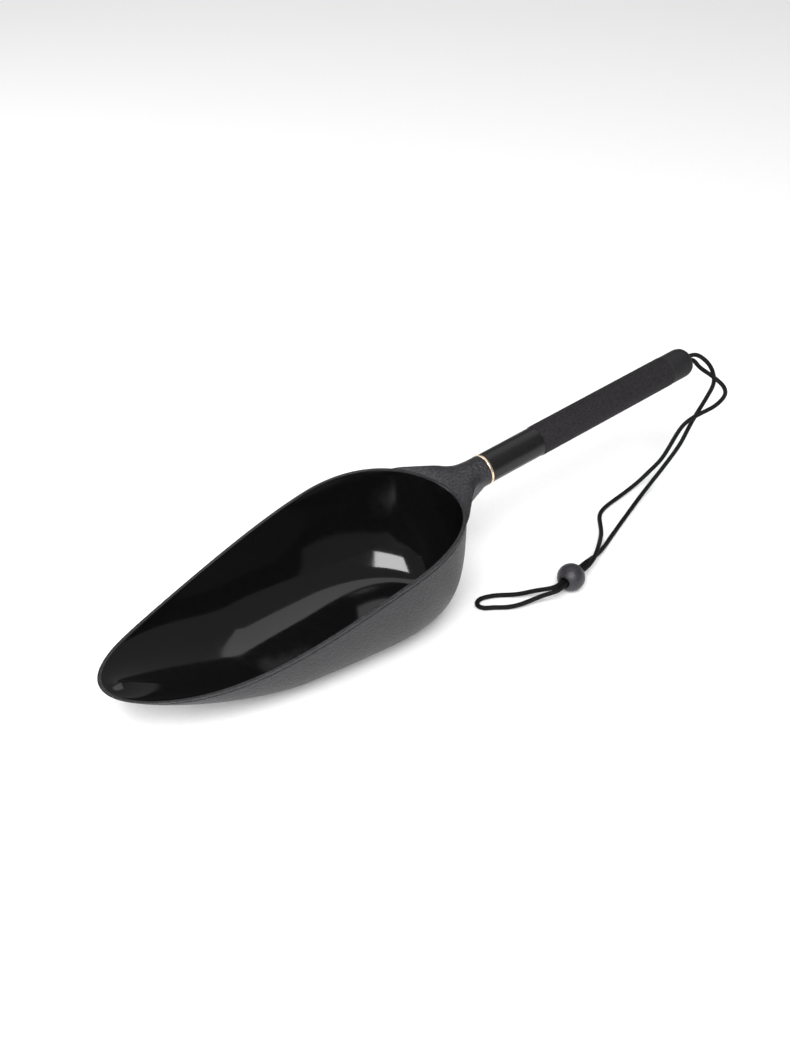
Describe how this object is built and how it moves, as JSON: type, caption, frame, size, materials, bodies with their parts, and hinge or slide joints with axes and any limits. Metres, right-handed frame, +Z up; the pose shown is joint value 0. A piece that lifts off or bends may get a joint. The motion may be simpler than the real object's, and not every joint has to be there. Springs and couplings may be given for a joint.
{
  "type": "hand scoop",
  "caption": "Hand scoop: deep egg-shaped moulded bowl on a screw-on round handle with a brass collar, and a wrist lanyard of doubled cord with a sliding bead.",
  "frame": {"origin": "centre of the base of the scoop's and handle's box, on the surface that the flat underside rests on", "axes": "+X along the length towards the handle's end, +Z up, y = 0 is the plane that halves scoop and handle"},
  "size_m": [0.5155, 0.1345, 0.1148],
  "materials": {
    "scoop_plastic": "gloss black inside, fine satin texture outside",
    "bush_brass": "machined",
    "collar_brass": "polished pale brass",
    "stud_steel": "zinc plated",
    "plug_plastic": "moulded",
    "tube_metal": "black anodised, satin",
    "grip_rubber": "fine grained, matt",
    "cap_rubber": "matt",
    "cord_fabric": "round braid",
    "bead_rubber": "satin"
  },
  "bodies": {
    "handle": {"handle_tube": "tube_metal", "grip_sleeve": "grip_rubber", "end_cap": "cap_rubber", "front_plug": "plug_plastic", "stud": "stud_steel", "cord_knot": "cord_fabric", "lanyard_cord": "cord_fabric"},
    "collar": {"joint_ring": "collar_brass"},
    "head": {"scoop": "scoop_plastic", "insert_bush": "bush_brass"},
    "slider": {"slider_bead": "bead_rubber"}
  },
  "joints": [
    {"name": "collar_slide", "type": "slide", "parent": "handle", "child": "collar", "axis": [-0.9941, 0, -0.1089], "range_m": [0, 0.0121]},
    {"name": "scoop_turn", "type": "hinge", "parent": "collar", "child": "head", "pos_m": [0.0498, 0, 0.083], "axis": [-0.9941, 0, -0.1089], "range_deg": [0, 2880]},
    {"name": "bead_slide", "type": "slide", "parent": "handle", "child": "slider", "axis": [0.9724, 0.2334, 0], "range_m": [-0.005, 0.01]}
  ],
  "couplings": [
    {"joint": "collar_slide", "follows": "scoop_turn", "m_per_rad": 0.00023873}
  ]
}
